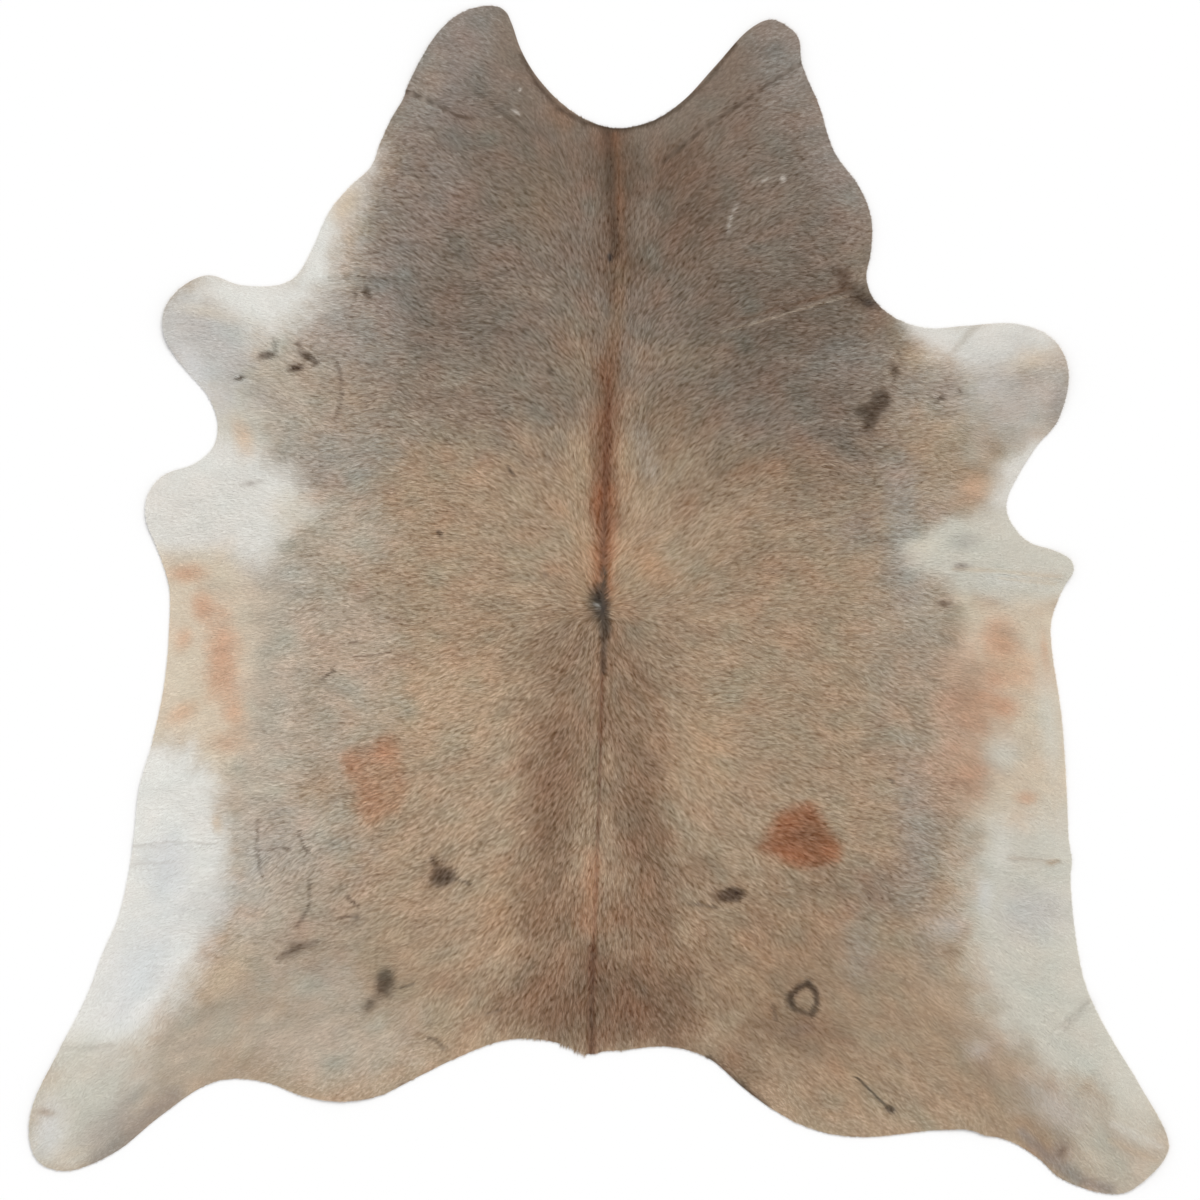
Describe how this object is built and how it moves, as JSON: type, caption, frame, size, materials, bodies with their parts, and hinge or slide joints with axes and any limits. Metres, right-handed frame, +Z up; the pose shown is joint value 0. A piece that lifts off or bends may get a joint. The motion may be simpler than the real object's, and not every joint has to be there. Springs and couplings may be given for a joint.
{
  "type": "cowhide rug",
  "caption": "Flat cowhide rug: a whole hair-on hide with its neck and leg lobes and natural cut outline, lying on the floor.",
  "frame": {"origin": "on the floor, at the middle of the rug's bounding box", "axes": "+Z up out of the hair side, +Y towards the neck lobes, +X to the right with the neck at the top"},
  "size_m": [2.0131, 2.0998, 0.0099],
  "materials": {
    "hide_hair": "short cattle hair on tanned leather, dull with a slight sheen"
  },
  "bodies": {
    "root": {"hide": "hide_hair"}
  },
  "joints": []
}
